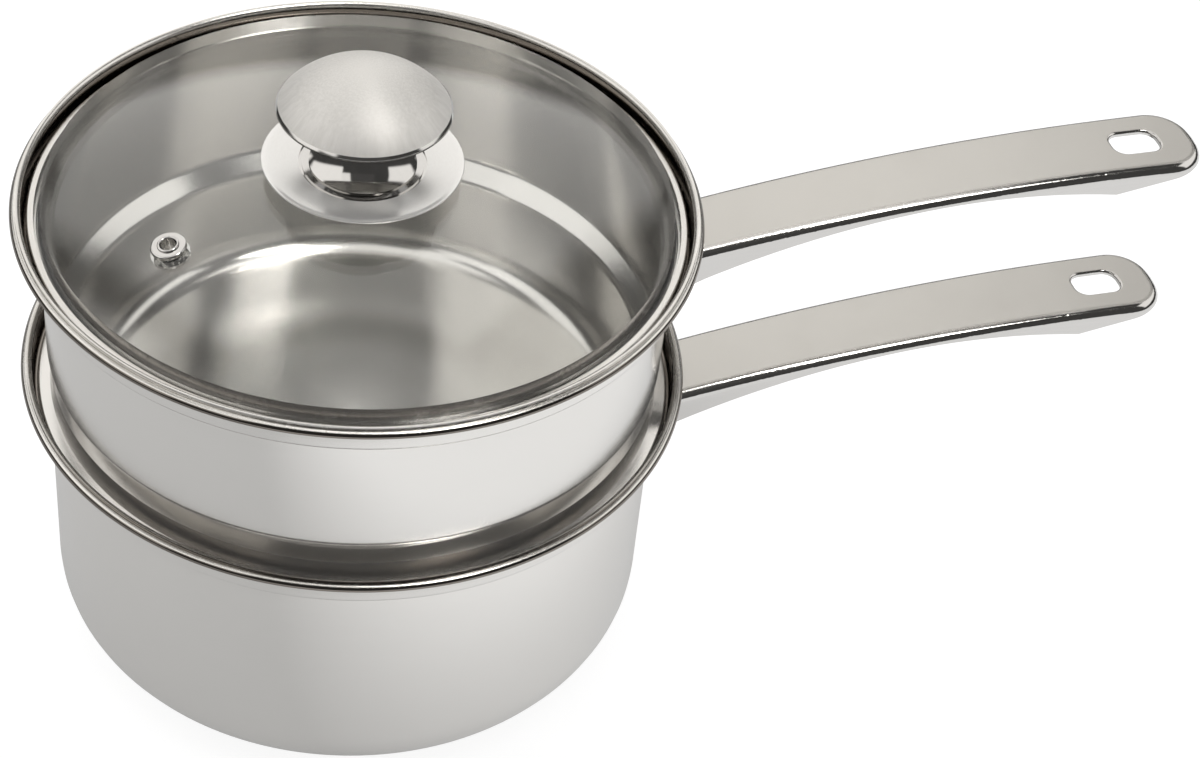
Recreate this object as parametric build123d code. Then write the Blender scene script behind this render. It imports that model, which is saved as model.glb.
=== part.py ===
from build123d import *
import math
import os

# Double boiler: lower saucepan, insert pan and glass lid, in millimetres.
# Origin at the centre of the base's underside, +Z up, both handles along +X.

# Pressed shell and rim, the same on both pans
shell_gauge = 0.8
rim_radius = 95.0
rim_overhang = 7.6
bead_width = 3.2
bead_height = 4.2
bead_corner_radius = 1.5
ledge_depth = 8.6
ledge_corner_radius = 1.4
recess_corner_radius = 1.2

# Lower saucepan
lower_rim_height = 94.1
lower_floor_radius = 18.0

# Capsule base under the lower saucepan
base_cap_gauge = 0.6
base_cap_inset = 15.4
base_cap_corner_radius = 1.8
base_core_thickness = 3.4
bond_gap = 0.05

# Insert pan
insert_stand = 64.1
insert_depth = 84.3
nest_step = 5.4
nest_floor_radius = 8.0
shoulder_depth = 48.6
shoulder_bend_radius = 3.4
seat_bead_gap = 1.2
seat_bead_gauge = 1.6
seat_bead_nose_radius = 0.7

# Handle, its reach in shares of its length and its drop below its pan's rim
handle_length = 171.8
handle_width = 28.6
handle_root_width = 25.0
handle_gauge = 1.5
handle_bend_radius = 3.0
handle_root_drop = 27.6
handle_mid_share = 0.37
handle_mid_drop = 18.0
handle_crest_share = 0.81
handle_crest_drop = 13.4
handle_tip_drop = 13.5
handle_tip_depth = 1.1
handle_tip_bow = 4.0
handle_tip_radius = 12.0
handle_heel_share = 0.82
handle_heel_drop = 21.3
handle_waist_share = 0.46
handle_waist_drop = 19.4
handle_knee_share = 0.19
handle_knee_drop = 28.6
handle_root_low_drop = 40.8
slot_inset = 20.2
slot_length = 15.4
slot_width = 10.0
slot_corner_radius = 4.0
slot_edge_radius = 0.8
weld_gap = 0.1

# Bracket in the handle's root
bracket_gauge = 1.2
bracket_length = 20.6
bracket_low_drop = 42.8
bracket_end_drop = 33.4

# Glass lid and its band
glass_gauge = 3.5
dome_radius = 280.0
brim_width = 2.1
band_gauge = 0.5
band_gap = 1.1
band_top_reach = 2.0
band_seat_reach = 2.9
band_corner_radius = 0.45
band_seam_width = 0.4
band_seam_azimuth = 112.4
glass_edge_gap = 0.1
fit_gap = 0.05

# Vent eyelet in the glass
vent_reach = 58.6
vent_azimuth = 197.2
vent_bore_radius = 2.2
vent_tube_radius = 3.0
vent_flange_radius = 4.9
vent_flange_height = 1.0
vent_flange_corner_radius = 0.5
vent_lip_height = 1.5
vent_lip_edge_radius = 0.35
vent_clinch_radius = 4.1
vent_clinch_height = 0.7
vent_washer_radius = 5.3
vent_washer_gauge = 0.8
vent_hole_gap = 0.1

# Knob and its fastening
gasket_gauge = 0.8
upper_gasket_radius = 15.5
lower_gasket_radius = 9.5
flange_gauge = 0.8
flange_radius = 27.6
flange_groove_radius = 17.5
flange_groove_width = 0.9
flange_groove_depth = 0.5
flange_rise = 1.1
flange_edge_radius = 0.35
neck_gauge = 0.8
neck_foot_radius = 14.9
neck_waist_radius = 8.7
neck_waist_rise = 10.2
neck_throat_radius = 12.0
neck_throat_rise = 15.6
cap_radius = 23.8
cap_edge_rise = 18.3
cap_dome_height = 11.6
cap_edge_height = 0.8
cap_gauge = 1.0
cap_roll_radius = 0.3
boss_foot_radius = 9.5
boss_foot_height = 1.6
boss_radius = 6.0
boss_height = 11.0
screw_radius = 2.5
screw_gap = 0.1
screw_length = 13.0
screw_head_radius = 4.6
screw_head_height = 2.6
screw_head_edge_radius = 1.1
screw_recess_length = 4.4
screw_recess_width = 1.1
screw_recess_depth = 1.3
washer_radius = 8.0
washer_gauge = 1.0
lock_washer_radius = 4.3
lock_washer_gauge = 1.1
lock_washer_split_width = 0.5

# One overrun serves every cut that has to pass right through
overrun = 30.0
cut_height = 120.0

# Shares
level_share = 0.7
least_bend_share = 0.1

# Radii, reaches and heights that follow from the sizes above
recess_radius = rim_radius - bead_width
wall_radius = rim_radius - rim_overhang
nest_radius = wall_radius - nest_step
seat_bead_radius = recess_radius - seat_bead_gap
base_cap_radius = wall_radius - base_cap_inset
band_radius = recess_radius - band_gap
glass_radius = band_radius - band_gauge - glass_edge_gap
dome_edge_radius = glass_radius - brim_width
handle_reach = wall_radius + handle_length
slot_reach = handle_reach - slot_inset
bracket_reach = wall_radius + bracket_length
lower_floor_low = base_cap_gauge + base_core_thickness + 2 * bond_gap
lower_ledge = lower_rim_height - ledge_depth
upper_rim_height = lower_ledge + insert_stand
upper_ledge = upper_rim_height - ledge_depth
insert_floor_low = upper_rim_height - insert_depth
brim_low = upper_ledge + band_gauge + fit_gap
brim_top = brim_low + glass_gauge
dome_rise = dome_radius - math.sqrt(dome_radius**2 - dome_edge_radius**2)
dome_top = brim_top + dome_rise
flange_low = dome_top + fit_gap + gasket_gauge
flange_top = flange_low + flange_gauge
screw_bore_radius = screw_radius + screw_gap
root_share = -shell_gauge / handle_length
end_share = 1 + handle_tip_bow / handle_length


def revolved(profile):
    """Turn a profile drawn as (radius, height) about the vertical axis."""
    return revolve(Plane.XZ * profile, Axis.Z)


def bent_sheet(points, radii, gauge):
    """Profile of a sheet whose middle line runs through points, bent to radii."""
    return trace(FilletPolyline(*points, radius=radii), line_width=gauge)


def ring_profile(inner, outer, low, high):
    """Upright rectangle between two radii and two heights."""
    middle = Pos((inner + outer) / 2, (low + high) / 2)
    return middle * Rectangle(outer - inner, high - low)


def ring(inner, outer, low, high):
    return revolved(ring_profile(inner, outer, low, high))


def rim_bead(rim_top):
    """Curled rim, an upright oval in section."""
    centre = Pos(rim_radius - bead_width / 2, rim_top - bead_height / 2)
    return centre * RectangleRounded(bead_width, bead_height, bead_corner_radius)


def ledge_points(rim_top):
    """Middle line of the stepped ledge, from the wall up into the bead."""
    ledge_middle = rim_top - ledge_depth - shell_gauge / 2
    recess_middle = recess_radius + shell_gauge / 2
    return [
        (wall_radius - shell_gauge / 2, ledge_middle),
        (recess_middle, ledge_middle),
        (recess_middle, rim_top - bead_height / 2),
    ]


def lower_pan_body():
    floor_middle = lower_floor_low + shell_gauge / 2
    wall_middle = wall_radius - shell_gauge / 2
    path = [(0, floor_middle), (wall_middle, floor_middle)]
    path += ledge_points(lower_rim_height)
    radii = [lower_floor_radius, ledge_corner_radius, recess_corner_radius]
    shell = bent_sheet(path, radii, shell_gauge)
    return revolved(shell + rim_bead(lower_rim_height))


def lower_base_core():
    low = base_cap_gauge + bond_gap
    radius = base_cap_radius - base_cap_gauge - base_cap_corner_radius
    return Pos(0, 0, low) * extrude(Circle(radius), base_core_thickness)


def lower_base_cap():
    middle_radius = base_cap_radius - base_cap_gauge / 2
    path = [
        (0, base_cap_gauge / 2),
        (middle_radius, base_cap_gauge / 2),
        (middle_radius, lower_floor_low - bond_gap),
    ]
    return revolved(bent_sheet(path, [base_cap_corner_radius], base_cap_gauge))


def upper_pan_body():
    floor_middle = insert_floor_low + shell_gauge / 2
    nest_middle = nest_radius - shell_gauge / 2
    wall_middle = wall_radius - shell_gauge / 2
    shoulder_top = upper_rim_height - shoulder_depth
    shoulder_low = shoulder_top - (wall_middle - nest_middle)
    path = [
        (0, floor_middle),
        (nest_middle, floor_middle),
        (nest_middle, shoulder_low),
        (wall_middle, shoulder_top),
    ]
    path += ledge_points(upper_rim_height)
    radii = [
        nest_floor_radius,
        shoulder_bend_radius,
        shoulder_bend_radius,
        ledge_corner_radius,
        recess_corner_radius,
    ]
    shell = bent_sheet(path, radii, shell_gauge)
    seat = ring_profile(
        nest_middle, seat_bead_radius, lower_ledge, lower_ledge + seat_bead_gauge
    )
    nose = seat.vertices().group_by(Axis.X)[-1]
    seat = fillet(nose, seat_bead_nose_radius)
    return revolved(shell + seat + rim_bead(upper_rim_height))


def handle_point(rim_top, share, drop):
    """Point in the handle's side view, given its share of the reach and its drop."""
    return (wall_radius + handle_length * share, rim_top - drop)


def handle_top(rim_top, inset):
    """Side outline of all that lies below the handle's top, lowered by inset."""
    root = handle_point(rim_top, root_share, handle_root_drop + inset)
    middle = handle_point(rim_top, handle_mid_share, handle_mid_drop + inset)
    crest = handle_point(rim_top, handle_crest_share, handle_crest_drop + inset)
    tip = handle_point(rim_top, end_share, handle_tip_drop + inset)
    back = ThreePointArc(root, middle, crest)
    nose = TangentArc(crest, tip, tangent=back % 1)
    tip_low = handle_point(rim_top, end_share, cut_height)
    root_low = handle_point(rim_top, root_share, cut_height)
    return make_face(Curve() + [back, nose, Polyline(tip, tip_low, root_low, root)])


def handle_foot(rim_top):
    """Side outline of all that lies above the handle's lower edge."""
    root = handle_point(rim_top, root_share, handle_root_low_drop)
    knee = handle_point(rim_top, handle_knee_share, handle_knee_drop)
    waist = handle_point(rim_top, handle_waist_share, handle_waist_drop)
    heel = handle_point(rim_top, handle_heel_share, handle_heel_drop)
    tip = handle_point(rim_top, end_share, handle_tip_drop + handle_tip_depth)
    under = ThreePointArc(root, knee, waist)
    belly = TangentArc(waist, heel, tangent=under % 1)
    tip_high = handle_point(rim_top, end_share, 0)
    root_high = handle_point(rim_top, root_share, 0)
    rest = Polyline(heel, tip, tip_high, root_high, root)
    return make_face(Curve() + [under, belly, rest])


def handle_plan(inset):
    """Plan outline of the handle, widening from its root to its rounded tip."""
    half = handle_width / 2 - inset
    tip = handle_reach - inset
    shoulder = tip - handle_tip_bow
    taper = (handle_width - handle_root_width) / 2 / handle_length
    axis_half = half - taper * shoulder
    bow = ThreePointArc((shoulder, -half), (tip, 0), (shoulder, half))
    ends = [(0, axis_half), (0, -axis_half)]
    sides = Polyline((shoulder, half), *ends, (shoulder, -half))
    plan = make_face(bow + sides)
    corners = plan.vertices().group_by(Axis.X)[-1]
    return fillet(corners, handle_tip_radius - inset)


def bend_edges(block):
    """Edges of the handle's top that get bent, along both sides and round the tip."""
    tops = [face for face in block.faces() if face.normal_at().Z > level_share]
    chosen = []
    for face in tops:
        for edge in face.edges():
            middle = edge @ (1 / 2)
            if abs(middle.Y) > weld_gap or middle.X > slot_reach:
                chosen.append(edge)
    return chosen


def handle_block(rim_top, inset):
    """Deep block under the handle's top face, its top edges bent."""
    plan = Pos(0, 0, rim_top) * extrude(handle_plan(inset), cut_height, both=True)
    side = Plane.XZ * handle_top(rim_top, inset)
    crossed = plan & extrude(side, handle_width, both=True)
    bend = max(handle_bend_radius - inset, handle_bend_radius * least_bend_share)
    return fillet(bend_edges(crossed), bend)


def slot_edges(sheet):
    """Edges of the handle's top that bound the hanging slot."""
    reach = (slot_length + weld_gap) / 2
    half = (slot_width + weld_gap) / 2
    tops = [face for face in sheet.faces() if face.normal_at().Z > level_share]
    chosen = []
    for face in tops:
        for edge in face.edges():
            middle = edge @ (1 / 2)
            if abs(middle.X - slot_reach) < reach and abs(middle.Y) < half:
                chosen.append(edge)
    return chosen


def pan_side(rim_top, outset):
    """Drum standing outset beyond the pan's wall."""
    return Pos(0, 0, rim_top) * Cylinder(wall_radius + outset, 2 * cut_height)


def handle(rim_top):
    foot = extrude(Plane.XZ * handle_foot(rim_top), handle_width, both=True)
    sheet = handle_block(rim_top, 0) - handle_block(rim_top, handle_gauge)
    hole = RectangleRounded(slot_length, slot_width, slot_corner_radius)
    sheet = sheet - Pos(slot_reach, 0, rim_top) * extrude(hole, -overrun)
    sheet = fillet(slot_edges(sheet), slot_edge_radius)
    return (sheet & foot) - pan_side(rim_top, weld_gap)


def handle_bracket(rim_top):
    """Channel inside the handle's root, closed at the wall by a saddle plate."""
    outset = handle_gauge + weld_gap
    outer = handle_block(rim_top, outset)
    inner = handle_block(rim_top, outset + bracket_gauge)
    corners = [
        (0, rim_top),
        (0, rim_top - bracket_low_drop),
        (wall_radius, rim_top - bracket_low_drop),
        (bracket_reach, rim_top - bracket_end_drop),
        (bracket_reach, rim_top),
    ]
    keep = make_face(Polyline(*corners, close=True))
    channel = outer & extrude(Plane.XZ * keep, handle_width, both=True)
    hollow = inner - pan_side(rim_top, weld_gap + bracket_gauge)
    return channel - hollow - pan_side(rim_top, weld_gap)


def dome_point(radius):
    """Height of the glass's top face at a radius."""
    return dome_top - dome_radius + math.sqrt(dome_radius**2 - radius**2)


def dome_ball(lift):
    """Ball whose cap is the glass's top face, lifted."""
    return Pos(0, 0, dome_top - dome_radius + lift) * Sphere(dome_radius)


def vent_place():
    """Frame on the glass's top face at the vent, its Z along the glass's normal."""
    tilt = math.degrees(math.asin(vent_reach / dome_radius))
    spot = Pos(vent_reach, 0, dome_point(vent_reach))
    return Rot(0, 0, vent_azimuth) * spot * Rot(0, tilt, 0)


def lid_glass():
    half_reach = dome_edge_radius / 2
    top = ThreePointArc(
        (0, dome_top), (half_reach, dome_point(half_reach)), (dome_edge_radius, brim_top)
    )
    under = ThreePointArc(
        (0, dome_top - glass_gauge),
        (half_reach, dome_point(half_reach) - glass_gauge),
        (dome_edge_radius, brim_low),
    )
    brim = Polyline(
        (dome_edge_radius, brim_top),
        (glass_radius, brim_top),
        (glass_radius, brim_low),
        (dome_edge_radius, brim_low),
    )
    axis_line = Line((0, dome_top), (0, dome_top - glass_gauge))
    glass = revolved(make_face(Curve() + [top, brim, under, axis_line]))
    knob_hole = Pos(0, 0, dome_top) * Cylinder(screw_bore_radius, overrun)
    vent_hole = vent_place() * Cylinder(vent_tube_radius + vent_hole_gap, overrun)
    return glass - knob_hole - vent_hole


def lid_rim_band():
    middle_radius = band_radius - band_gauge / 2
    seat_middle = upper_ledge + band_gauge / 2
    top_middle = brim_top + fit_gap + band_gauge / 2
    path = [
        (band_radius - band_seat_reach, seat_middle),
        (middle_radius, seat_middle),
        (middle_radius, top_middle),
        (band_radius - band_top_reach, top_middle),
    ]
    corners = [band_corner_radius, band_corner_radius]
    band = revolved(bent_sheet(path, corners, band_gauge))
    slit = Box(2 * (band_seat_reach + band_gauge), band_seam_width, overrun)
    return band - Rot(0, 0, band_seam_azimuth) * Pos(band_radius, 0, brim_top) * slit


def vent_eyelet():
    """Flat ring with a rolled lip, its tube clinched over under the glass."""
    under = -glass_gauge - vent_washer_gauge - 2 * fit_gap
    flange = ring_profile(
        vent_bore_radius, vent_flange_radius, fit_gap, vent_flange_height
    )
    crown = flange.vertices().group_by(Axis.Y)[-1].sort_by(Axis.X)
    flange = fillet(crown[-1], vent_flange_corner_radius)
    tube = ring_profile(vent_bore_radius, vent_tube_radius, under, vent_lip_height)
    tube = fillet(tube.vertices().group_by(Axis.Y)[-1], vent_lip_edge_radius)
    clinch = ring_profile(
        vent_bore_radius, vent_clinch_radius, under - vent_clinch_height, under
    )
    return vent_place() * revolved(flange + tube + clinch)


def vent_washer():
    high = -glass_gauge - fit_gap
    washer = ring(
        vent_tube_radius + vent_hole_gap,
        vent_washer_radius,
        high - vent_washer_gauge,
        high,
    )
    return vent_place() * washer


def knob_gasket_upper():
    """Soft washer, flat above and moulded to the dome below."""
    low = dome_point(upper_gasket_radius)
    washer = ring(screw_bore_radius, upper_gasket_radius, low, flange_low)
    return washer - dome_ball(fit_gap)


def knob_base():
    """Dished disc with a groove round the neck's foot."""
    flat = [(screw_bore_radius, flange_low), (flange_groove_radius, flange_low)]
    rim_low = (flange_radius, flange_low + flange_rise)
    rim_high = (flange_radius, flange_top + flange_rise)
    inner = flange_groove_radius - flange_groove_width
    groove = [
        (flange_groove_radius, flange_top),
        (flange_groove_radius, flange_top - flange_groove_depth),
        (inner, flange_top - flange_groove_depth),
        (inner, flange_top),
    ]
    outline = flat + [rim_low, rim_high] + groove + [(screw_bore_radius, flange_top)]
    profile = make_face(Polyline(*outline, close=True))
    edge = profile.vertices().group_by(Axis.X)[-1]
    return revolved(fillet(edge, flange_edge_radius))


def cap_dome():
    """Radius of the cap's dome, and the height of its centre."""
    radius = (cap_radius**2 + cap_dome_height**2) / (2 * cap_dome_height)
    apex = flange_top + fit_gap + cap_edge_rise + cap_dome_height
    return radius, apex - radius


def knob_body():
    """Trumpet neck and the cap's underside, one spun sheet."""
    foot = flange_top + fit_gap
    half = neck_gauge / 2
    brim_middle = foot + cap_edge_rise - cap_edge_height + fit_gap + half
    radius, centre = cap_dome()
    head_room = brim_middle + half + fit_gap - centre
    dome_reach = math.sqrt((radius - cap_gauge) ** 2 - head_room**2)
    brim_reach = min(dome_reach, cap_radius - cap_gauge) - fit_gap
    low = (neck_foot_radius - half, foot)
    waist = (neck_waist_radius - half, foot + neck_waist_rise)
    throat = (neck_throat_radius - half, foot + neck_throat_rise)
    flare = TangentArc(waist, low, tangent=(0, -1))
    neck = TangentArc(waist, throat, tangent=(0, 1))
    under = TangentArc(throat, (brim_reach, brim_middle), tangent=neck % 1)
    spun = revolved(trace([flare, neck, under], line_width=neck_gauge))
    return spun - ring(0, cap_radius, foot - overrun, foot)


def knob_cap():
    """Domed top with a short turned-down edge."""
    edge = flange_top + fit_gap + cap_edge_rise
    edge_low = edge - cap_edge_height
    radius, centre = cap_dome()
    inner_reach = cap_radius - cap_gauge
    inner_radius = radius - cap_gauge
    inner_edge = centre + math.sqrt(inner_radius**2 - inner_reach**2)
    apex = (0, centre + radius)
    under = (0, centre + inner_radius)
    outline = [
        TangentArc(apex, (cap_radius, edge), tangent=(1, 0)),
        Polyline(
            (cap_radius, edge),
            (cap_radius, edge_low),
            (inner_reach, edge_low),
            (inner_reach, inner_edge),
        ),
        TangentArc(under, (inner_reach, inner_edge), tangent=(1, 0)),
        Line(under, apex),
    ]
    profile = make_face(Curve() + outline)
    rolled = profile.vertices().group_by(Axis.Y)[0].sort_by(Axis.X)[-1]
    return revolved(fillet(rolled, cap_roll_radius))


def knob_boss():
    """Threaded boss with a wide foot, standing in the neck."""
    foot = flange_top + fit_gap
    base = ring(screw_bore_radius, boss_foot_radius, foot, foot + boss_foot_height)
    return base + ring(screw_bore_radius, boss_radius, foot, foot + boss_height)


washer_high = dome_top - glass_gauge - fit_gap - gasket_gauge
lock_high = washer_high - washer_gauge
head_high = lock_high - lock_washer_gauge


def knob_gasket_lower():
    """Soft washer, moulded to the glass above and flat below."""
    high = washer_high + gasket_gauge
    washer = ring(screw_bore_radius, lower_gasket_radius, washer_high, high)
    return washer & dome_ball(-glass_gauge - fit_gap)


def knob_washer():
    return ring(screw_bore_radius, washer_radius, lock_high, washer_high)


def knob_lock_washer():
    washer = ring(screw_bore_radius, lock_washer_radius, head_high, lock_high)
    reach = lock_washer_radius / 2 + screw_gap
    split = Box(lock_washer_radius, lock_washer_split_width, overrun)
    return washer - Pos(-reach, 0, lock_high) * split


def knob_screw():
    """Pan-head screw driven up from under the lid, with a cross recess."""
    head = ring_profile(0, screw_head_radius, head_high - screw_head_height, head_high)
    edge = head.vertices().group_by(Axis.Y)[0].sort_by(Axis.X)[-1]
    head = fillet(edge, screw_head_edge_radius)
    shank = ring_profile(0, screw_radius, head_high, head_high + screw_length)
    screw = revolved(head + shank)
    recess = Box(screw_recess_length, screw_recess_width, 2 * screw_recess_depth)
    recess += Box(screw_recess_width, screw_recess_length, 2 * screw_recess_depth)
    return screw - Pos(0, 0, head_high - screw_head_height) * recess


pieces = {
    "lower_pan_body": lower_pan_body(),
    "lower_base_core": lower_base_core(),
    "lower_base_cap": lower_base_cap(),
    "lower_handle": handle(lower_rim_height),
    "lower_handle_bracket": handle_bracket(lower_rim_height),
    "upper_pan_body": upper_pan_body(),
    "upper_handle": handle(upper_rim_height),
    "upper_handle_bracket": handle_bracket(upper_rim_height),
    "lid_glass": lid_glass(),
    "lid_rim_band": lid_rim_band(),
    "vent_eyelet": vent_eyelet(),
    "vent_washer": vent_washer(),
    "knob_cap": knob_cap(),
    "knob_body": knob_body(),
    "knob_base": knob_base(),
    "knob_boss": knob_boss(),
    "knob_gasket_upper": knob_gasket_upper(),
    "knob_gasket_lower": knob_gasket_lower(),
    "knob_washer": knob_washer(),
    "knob_lock_washer": knob_lock_washer(),
    "knob_screw": knob_screw(),
}

os.makedirs("parts", exist_ok=True)
for name, piece in pieces.items():
    export_step(piece, f"parts/{name}.step")
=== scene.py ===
import math

import bmesh
import bpy
from bpy.props import FloatProperty, FloatVectorProperty, IntProperty, PointerProperty
from bpy.types import Operator, Panel, PropertyGroup
from mathutils import Matrix, Vector


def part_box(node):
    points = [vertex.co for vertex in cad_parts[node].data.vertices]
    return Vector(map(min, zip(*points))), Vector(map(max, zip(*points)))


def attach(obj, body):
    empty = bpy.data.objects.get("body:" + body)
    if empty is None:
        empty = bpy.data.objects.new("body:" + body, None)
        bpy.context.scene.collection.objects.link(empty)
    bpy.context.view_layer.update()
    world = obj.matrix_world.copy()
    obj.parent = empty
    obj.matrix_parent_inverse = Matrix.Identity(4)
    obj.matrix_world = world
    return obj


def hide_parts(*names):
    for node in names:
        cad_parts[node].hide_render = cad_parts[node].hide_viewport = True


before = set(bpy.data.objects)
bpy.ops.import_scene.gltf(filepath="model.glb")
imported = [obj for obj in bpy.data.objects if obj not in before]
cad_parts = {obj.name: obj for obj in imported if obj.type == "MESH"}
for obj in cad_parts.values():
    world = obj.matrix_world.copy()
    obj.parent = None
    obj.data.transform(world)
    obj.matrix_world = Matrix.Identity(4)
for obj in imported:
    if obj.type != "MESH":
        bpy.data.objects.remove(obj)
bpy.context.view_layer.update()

bl_info = {
    "name": "Double boiler",
    "version": (1, 0, 0),
    "blender": (4, 5, 0),
    "location": "3D View > Sidebar > Double boiler",
    "description": "Dresses the packed double boiler in polished and satin steel and clear glass",
    "category": "Object",
}

MM = 0.001
LOWER, INSERT, LID = "lower_saucepan", "insert_pan", "lid"
FIT_GAP = 0.05 * MM


def top_of(node):
    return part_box(node)[1]


def bottom_of(node):
    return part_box(node)[0]


def length(name, text, default):
    """Length property whose default is given in metres."""
    return FloatProperty(name=name, description=text, default=default, unit="LENGTH", precision=5)


def millimetres(name, text, default):
    return length(name, text, default * MM)


def colour(name, text, default):
    return FloatVectorProperty(
        name=name, description=text, default=default, subtype="COLOR", size=3, min=0.0, max=1.0
    )


def share(name, text, default):
    return FloatProperty(name=name, description=text, default=default, subtype="FACTOR", min=0.0, max=1.0)


def azimuth(name, text, degrees):
    return FloatProperty(name=name, description=text, default=math.radians(degrees), subtype="ANGLE")


class PanSizes(PropertyGroup):
    """Pressed shells of both pans."""

    segments: IntProperty(name="Segments", description="Facets round a turned piece", default=288, min=48)
    gauge: millimetres("Sheet", "Thickness of the pressed sheet", 0.8)
    rim_radius: length("Rim radius", "Outside of the curled rim", -bottom_of("lower_pan_body").x)
    wall_inset: millimetres("Wall inset", "From the rim's outside to the wall's outside", 7.6)
    bead_width: millimetres("Bead width", "Width of the curled rim", 3.2)
    bead_height: millimetres("Bead height", "Height of the curled rim", 4.2)
    bead_bend: millimetres("Bead bend", "Radius of the curl's corners", 1.5)
    ledge_depth: millimetres("Ledge depth", "From the rim's top down to the ledge", 8.6)
    ledge_bend: millimetres("Ledge bend", "Bend between wall and ledge", 1.4)
    recess_bend: millimetres("Recess bend", "Bend between ledge and recess", 1.2)
    lower_rim: length("Lower rim", "Height of the saucepan's rim", top_of("lower_pan_body").z)
    lower_floor: length("Lower floor", "Height of the saucepan's floor", bottom_of("lower_pan_body").z)
    lower_bend: millimetres("Lower bend", "Bend between floor and wall", 18.0)
    upper_rim: length("Upper rim", "Height of the insert's rim", top_of("upper_pan_body").z)
    upper_floor: length("Upper floor", "Height of the insert's floor", bottom_of("upper_pan_body").z)
    nest_bend: millimetres("Nest bend", "Bend between the insert's floor and wall", 8.0)
    nest_step: millimetres("Nest step", "How much narrower the nested part is", 5.4)
    shoulder_depth: millimetres("Shoulder depth", "From the insert's rim down to its shoulder", 48.6)
    shoulder_bend: millimetres("Shoulder bend", "Bends of the shoulder", 3.4)
    seat_gap: millimetres("Seat gap", "Between seat bead and recess", 1.2)
    seat_gauge: millimetres("Seat gauge", "Thickness of the folded seat bead", 1.6)
    seat_nose: millimetres("Seat nose", "Rounding of the seat bead", 0.7)


class LidSizes(PropertyGroup):
    """Glass lid, its steel band and the vent."""

    glass_gauge: millimetres("Glass", "Thickness of the glass", 3.5)
    dome_radius: millimetres("Dome radius", "Radius of the dome", 280.0)
    dome_top: length("Dome top", "Height of the glass at its centre", top_of("lid_glass").z)
    glass_radius: length("Glass radius", "Outside of the glass", top_of("lid_glass").x)
    brim_width: millimetres("Brim", "Flat brim inside the band", 2.1)
    band_radius: length("Band radius", "Outside of the band", -bottom_of("lid_rim_band").x)
    band_gauge: millimetres("Band sheet", "Thickness of the band", 0.5)
    band_bend: millimetres("Band bend", "Bends of the band", 0.45)
    band_top_reach: millimetres("Top flange", "Reach of the band over the glass", 2.0)
    band_seat_reach: millimetres("Seat flange", "Reach of the band under the glass", 2.9)
    seam_width: millimetres("Seam", "Gap between the band's ends", 0.4)
    seam_azimuth: azimuth("Seam azimuth", "Where the band's ends meet", 112.4)
    vent_reach: millimetres("Vent reach", "From the lid's axis to the vent", 58.6)
    vent_azimuth: azimuth("Vent azimuth", "Where the vent stands", 197.2)


class KnobSizes(PropertyGroup):
    """Spun steel knob."""

    flange_top: millimetres("Flange top", "Top of the flange at its groove", 160.89)
    flange_gauge: millimetres("Flange sheet", "Thickness of the flange", 0.8)
    flange_radius: length("Flange radius", "Outside of the flange", top_of("knob_base").x)
    flange_rise: millimetres("Flange rise", "How far the flange dishes up", 1.1)
    groove_radius: millimetres("Groove", "Outside of the groove round the neck", 17.5)
    groove_width: millimetres("Groove width", "Width of the groove", 0.9)
    groove_depth: millimetres("Groove depth", "Depth of the groove", 0.5)
    foot_radius: millimetres("Foot", "Radius of the neck's foot", 14.9)
    waist_radius: millimetres("Waist", "Radius of the neck's waist", 8.7)
    waist_rise: millimetres("Waist rise", "Height of the waist over the foot", 10.2)
    throat_radius: millimetres("Throat", "Radius where the neck turns under the cap", 12.0)
    throat_rise: millimetres("Throat rise", "Height of the throat over the foot", 15.6)
    neck_gauge: millimetres("Neck sheet", "Thickness of the neck", 0.8)
    cap_radius: length("Cap radius", "Outside of the cap", top_of("knob_cap").x)
    cap_top: length("Cap top", "Height of the cap", top_of("knob_cap").z)
    cap_dome: millimetres("Cap dome", "Height of the cap's dome", 11.6)
    cap_edge: millimetres("Cap edge", "Height of the turned-down edge", 0.8)
    cap_gauge: millimetres("Cap sheet", "Thickness of the cap", 1.0)


class Finishes(PropertyGroup):
    """Colours and roughness of the finishes."""

    steel: colour("Satin steel", "Satin stainless steel", (0.62, 0.605, 0.575))
    steel_shade: colour("Satin steel shade", "Darker tone in the satin steel", (0.60, 0.585, 0.555))
    bright: colour("Bright steel", "Polished stainless steel", (0.65, 0.64, 0.625))
    bright_shade: colour("Bright steel shade", "Darker tone in the polished steel", (0.61, 0.60, 0.585))
    # Painted light: the pale tones are lifted well above real steel to brighten the pans' walls inside and
    # out, the rims, the handle brackets and the knob cap; they still vary at random with the grain.
    pale_painted_light: colour("Pale steel", "Light tone, on rims, knob and insides", (0.84, 0.825, 0.80))
    pale_shade: colour("Pale steel shade", "Darker tone inside the pans", (0.81, 0.795, 0.77))
    # Painted shade: far darker than any steel, this tone paints the shade in the recess under the rims.
    recess: colour("Recess steel", "Polished recess under the rims", (0.22, 0.2, 0.18))
    # Painted reflection: near-white, far lighter than steel, this tone stands in for the bright backdrop
    # that the knob's flange reflects.
    flange: colour("Flange steel", "Lightest tone, on the knob's flange", (0.93, 0.92, 0.90))
    aluminium: colour("Aluminium", "Core disc", (0.78, 0.79, 0.80))
    glass: colour("Glass", "Tint of the lid glass", (0.98, 0.988, 0.984))
    silicone: colour("Silicone", "Soft washers", (0.62, 0.62, 0.60))
    wall_roughness: share("Wall roughness", "Outside of the pans", 0.17)
    inside_roughness: share("Inside roughness", "Inside of the pans", 0.17)
    rim_roughness: share("Rim roughness", "Polished rims", 0.09)
    handle_roughness: share("Handle roughness", "Satin top of the handles", 0.4)
    knob_roughness: share("Knob roughness", "Domed cap of the knob", 0.55)


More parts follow.
